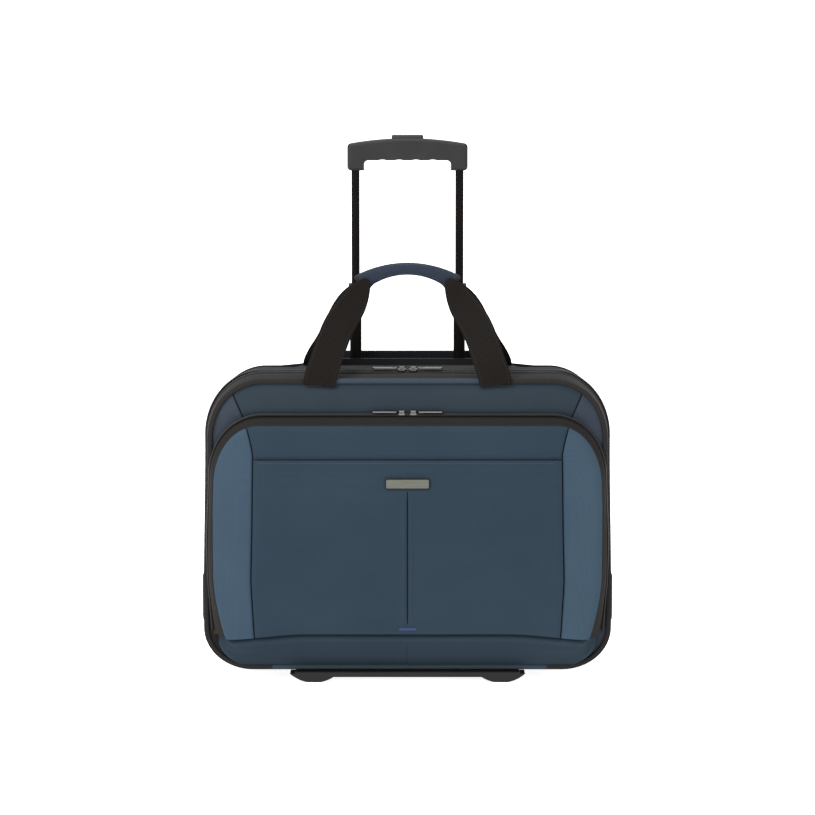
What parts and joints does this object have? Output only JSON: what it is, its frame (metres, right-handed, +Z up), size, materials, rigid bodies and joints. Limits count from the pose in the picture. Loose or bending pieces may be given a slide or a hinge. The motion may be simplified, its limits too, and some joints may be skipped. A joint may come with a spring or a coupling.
{
  "type": "rolling laptop case",
  "caption": "Soft-sided rolling laptop case with a front pocket, telescopic trolley grip, webbing carry handle and inline rear wheels.",
  "frame": {"origin": "on the floor under the middle of the case's box, trolley partly drawn out", "axes": "+Z up, +X to the right as seen from the front, the front pocket faces -Y and the trolley and wheels are at +Y"},
  "size_m": [0.44, 0.205, 0.5683],
  "materials": {
    "black_plastic": "fine-grained moulded black",
    "grip_plastic": "satin moulded dark grey",
    "button_plastic": "satin moulded dark grey",
    "tube_metal": "satin black",
    "front_fabric": "navy ribbed polyester",
    "gusset_fabric": "dark navy polyester",
    "band_fabric": "black polyester",
    "guard_fabric": "blue polyester",
    "wrap_fabric": "blue padded polyester",
    "lining_fabric": "grey lining",
    "webbing": "black ribbed webbing",
    "zip_tape": "black woven tape with a coil",
    "zip_metal": "gunmetal",
    "badge_metal": "brushed",
    "steel": "bright",
    "hub_plastic": "moulded dark grey",
    "wheel_rubber": "matte black"
  },
  "bodies": {
    "case": {"gusset": "gusset_fabric", "back_panel": "gusset_fabric", "rear_binding": "band_fabric", "frame_board": "lining_fabric", "base_pan": "black_plastic", "laptop_sleeve": "lining_fabric", "main_zip_rear": "zip_tape", "foot_bar": "black_plastic", "kick_plate": "black_plastic", "case_screws": "steel", "trolley_cup": "black_plastic", "tube_bracket": "black_plastic", "outer_tube_left": "tube_metal", "outer_tube_right": "tube_metal", "side_guard_left": "guard_fabric", "side_guard_right": "guard_fabric", "wheel_housing_left": "black_plastic", "wheel_housing_right": "black_plastic", "axle_left": "steel", "axle_right": "steel", "rear_handle_tabs": "webbing"},
    "front_half": {"lid_panel": "front_fabric", "lid_gusset": "band_fabric", "front_binding": "band_fabric", "lower_facet": "front_fabric", "main_zip_front": "zip_tape", "pocket_zip_rear": "zip_tape", "front_handle_tabs": "webbing"},
    "pocket_front": {"pocket_tray": "front_fabric", "slip_pocket": "front_fabric", "badge_plate": "badge_metal", "pocket_zip_front": "zip_tape"},
    "mid_stage": {"mid_tube_left": "tube_metal", "mid_tube_right": "tube_metal", "mid_collar_left": "grip_plastic", "mid_collar_right": "grip_plastic"},
    "grip_stage": {"inner_tube_left": "tube_metal", "inner_tube_right": "tube_metal", "grip_lower": "grip_plastic", "grip_upper": "grip_plastic", "button_spring": "steel"},
    "grip_button": {"push_button": "button_plastic", "release_yoke": "grip_plastic"},
    "front_handle": {"front_webbing": "webbing", "handle_wrap": "wrap_fabric"},
    "rear_handle": {"rear_webbing": "webbing"},
    "wheel_left": {"tyre_left": "wheel_rubber", "hub_left": "hub_plastic", "bearings_left": "steel"},
    "main_slider_left": {"main_slider_left": "zip_metal"},
    "main_pull_left": {"main_pull_left": "zip_metal"},
    "pocket_slider_left": {"pocket_slider_left": "zip_metal"},
    "pocket_pull_left": {"pocket_pull_left": "zip_metal"},
    "wheel_right": {"tyre_right": "wheel_rubber", "hub_right": "hub_plastic", "bearings_right": "steel"},
    "main_slider_right": {"main_slider_right": "zip_metal"},
    "main_pull_right": {"main_pull_right": "zip_metal"},
    "pocket_slider_right": {"pocket_slider_right": "zip_metal"},
    "pocket_pull_right": {"pocket_pull_right": "zip_metal"}
  },
  "joints": [
    {"name": "front_half_fold", "type": "hinge", "parent": "case", "child": "front_half", "pos_m": [0, -0.072, 0.0155], "axis": [1, 0, 0], "range_deg": [0, 35]},
    {"name": "pocket_fold", "type": "hinge", "parent": "front_half", "child": "pocket_front", "pos_m": [0, -0.1015, 0.0545], "axis": [1, 0, 0], "range_deg": [0, 45]},
    {"name": "mid_stage_slide", "type": "slide", "parent": "case", "child": "mid_stage", "axis": [0, 0, 1], "range_m": [-0.09, 0.15]},
    {"name": "grip_stage_slide", "type": "slide", "parent": "mid_stage", "child": "grip_stage", "axis": [0, 0, 1], "range_m": [-0.12, 0.13]},
    {"name": "button_press", "type": "slide", "parent": "grip_stage", "child": "grip_button", "axis": [0, 0, -1], "range_m": [0, 0.003], "stiffness_N_per_m": 900, "springref_m": -0.003, "deforming": ["button_spring"]},
    {"name": "front_handle_swing", "type": "hinge", "parent": "front_half", "child": "front_handle", "pos_m": [0, -0.076, 0.321], "axis": [1, 0, 0], "range_deg": [0, 180]},
    {"name": "rear_handle_swing", "type": "hinge", "parent": "case", "child": "rear_handle", "pos_m": [0, 0.03, 0.3235], "axis": [1, 0, 0], "range_deg": [-30, 0]},
    {"name": "wheel_left_spin", "type": "hinge", "parent": "case", "child": "wheel_left", "pos_m": [-0.176, 0.0775, 0.025], "axis": [1, 0, 0], "continuous": true},
    {"name": "main_slider_left_run", "type": "slide", "parent": "case", "child": "main_slider_left", "axis": [-1, 0, 0], "range_m": [0, 0.15]},
    {"name": "main_pull_left_swing", "type": "hinge", "parent": "main_slider_left", "child": "main_pull_left", "pos_m": [-0.0108, -0.0302, 0.3254], "axis": [0, 1, 0], "range_deg": [0, 110]},
    {"name": "pocket_slider_left_run", "type": "slide", "parent": "front_half", "child": "pocket_slider_left", "axis": [-1, 0, 0], "range_m": [0, 0.15]},
    {"name": "pocket_pull_left_swing", "type": "hinge", "parent": "pocket_slider_left", "child": "pocket_pull_left", "pos_m": [-0.0108, -0.0775, 0.2842], "axis": [0, 1, 0], "range_deg": [0, 110]},
    {"name": "wheel_right_spin", "type": "hinge", "parent": "case", "child": "wheel_right", "pos_m": [0.176, 0.0775, 0.025], "axis": [1, 0, 0], "continuous": true},
    {"name": "main_slider_right_run", "type": "slide", "parent": "case", "child": "main_slider_right", "axis": [1, 0, 0], "range_m": [0, 0.15]},
    {"name": "main_pull_right_swing", "type": "hinge", "parent": "main_slider_right", "child": "main_pull_right", "pos_m": [0.0108, -0.0302, 0.3254], "axis": [0, -1, 0], "range_deg": [0, 110]},
    {"name": "pocket_slider_right_run", "type": "slide", "parent": "front_half", "child": "pocket_slider_right", "axis": [1, 0, 0], "range_m": [0, 0.15]},
    {"name": "pocket_pull_right_swing", "type": "hinge", "parent": "pocket_slider_right", "child": "pocket_pull_right", "pos_m": [0.0108, -0.0775, 0.2842], "axis": [0, -1, 0], "range_deg": [0, 110]}
  ]
}
